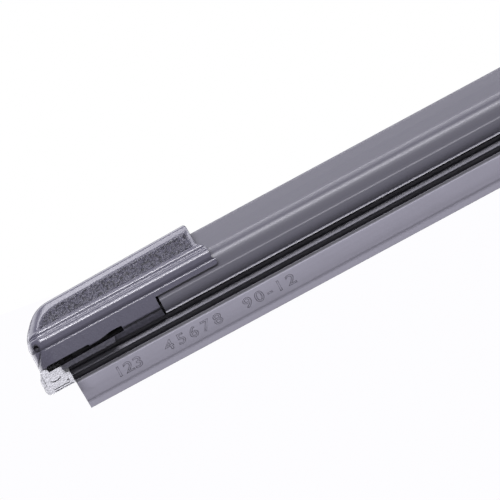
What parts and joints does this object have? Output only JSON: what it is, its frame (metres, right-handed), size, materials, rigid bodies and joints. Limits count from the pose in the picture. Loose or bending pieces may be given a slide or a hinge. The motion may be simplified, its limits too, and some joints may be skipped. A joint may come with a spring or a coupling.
{
  "type": "windscreen wiper blade",
  "caption": "Flat beam wiper blade: bowed steel rails in a rubber strip, clipped spoilers, moulded end caps and a riveted connector with a pivoting hook adapter.",
  "frame": {"origin": "centre of the cross pin in the connector, on the pin's axis, where the wiper arm's hook sits", "axes": "+X along the blade, +Z away from the glass towards the arm, -Y the side of the spoiler's long flank; the cap that the picture shows is at the -X end"},
  "size_m": [0.609, 0.0184, 0.0601],
  "materials": {
    "rubber": "matt graphite-coated rubber",
    "spoiler": "smooth satin extruded plastic",
    "cap": "satin moulded plastic with a pebbled panel",
    "stop": "light grey granular moulded plastic",
    "rail": "dark spring steel strip",
    "bracket": "black powder coat on sheet steel",
    "pin": "zinc-plated steel",
    "adapter": "satin moulded plastic"
  },
  "bodies": {
    "adapter": {"hook_adapter": "adapter"},
    "blade": {"rubber_element": "rubber", "rail_front": "rail", "rail_rear": "rail", "spoiler_left": "spoiler", "spoiler_right": "spoiler", "end_cap_left": "cap", "end_cap_right": "cap", "end_stop_left": "stop", "end_stop_right": "stop", "bridge_bracket": "bracket", "connector_housing": "cap", "pivot_pin": "pin"}
  },
  "joints": [
    {"name": "blade_pivot", "type": "hinge", "parent": "adapter", "child": "blade", "pos_m": [0, 0, 0], "axis": [0, 1, 0], "range_deg": [-12, 12]}
  ]
}
